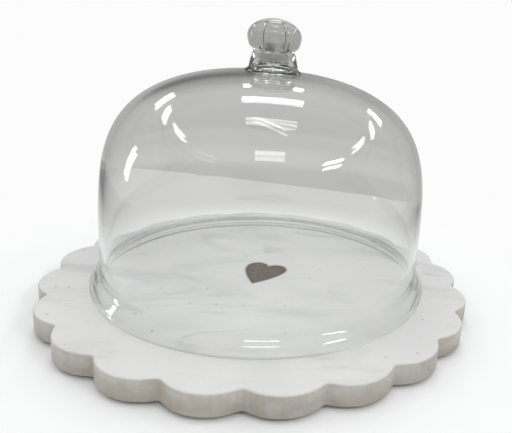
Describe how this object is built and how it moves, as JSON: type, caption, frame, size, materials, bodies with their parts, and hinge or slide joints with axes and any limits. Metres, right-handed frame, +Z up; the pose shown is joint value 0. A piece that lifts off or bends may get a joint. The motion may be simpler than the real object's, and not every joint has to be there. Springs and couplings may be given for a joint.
{
  "type": "cake stand dome",
  "caption": "Scalloped marble cake board with a small heart inlay, covered by a clear glass dome with a flared foot that lifts off by its lobed glass knob.",
  "frame": {"origin": "on the worktop, under the middle of the board", "axes": "+Z up along the dome's axis, -Y towards the front, +X to the right"},
  "size_m": [0.3034, 0.3034, 0.2032],
  "materials": {
    "marble": "honed white marble with faint grey veins",
    "inlay": "honed dark grey-brown",
    "resin": "cured clear resin",
    "bumper": "soft matte",
    "glass": "clear, fire-polished"
  },
  "bodies": {
    "board": {"marble_board": "marble", "heart_inlay": "inlay", "inlay_adhesive": "resin", "bumper_foot_front_left": "bumper", "bumper_foot_front_right": "bumper", "bumper_foot_back_left": "bumper", "bumper_foot_back_right": "bumper"},
    "dome": {"glass_dome": "glass", "glass_knob": "glass"}
  },
  "joints": [
    {"name": "dome_lift", "type": "slide", "parent": "board", "child": "dome", "axis": [0, 0, 1], "range_m": [0, 0.25]}
  ]
}
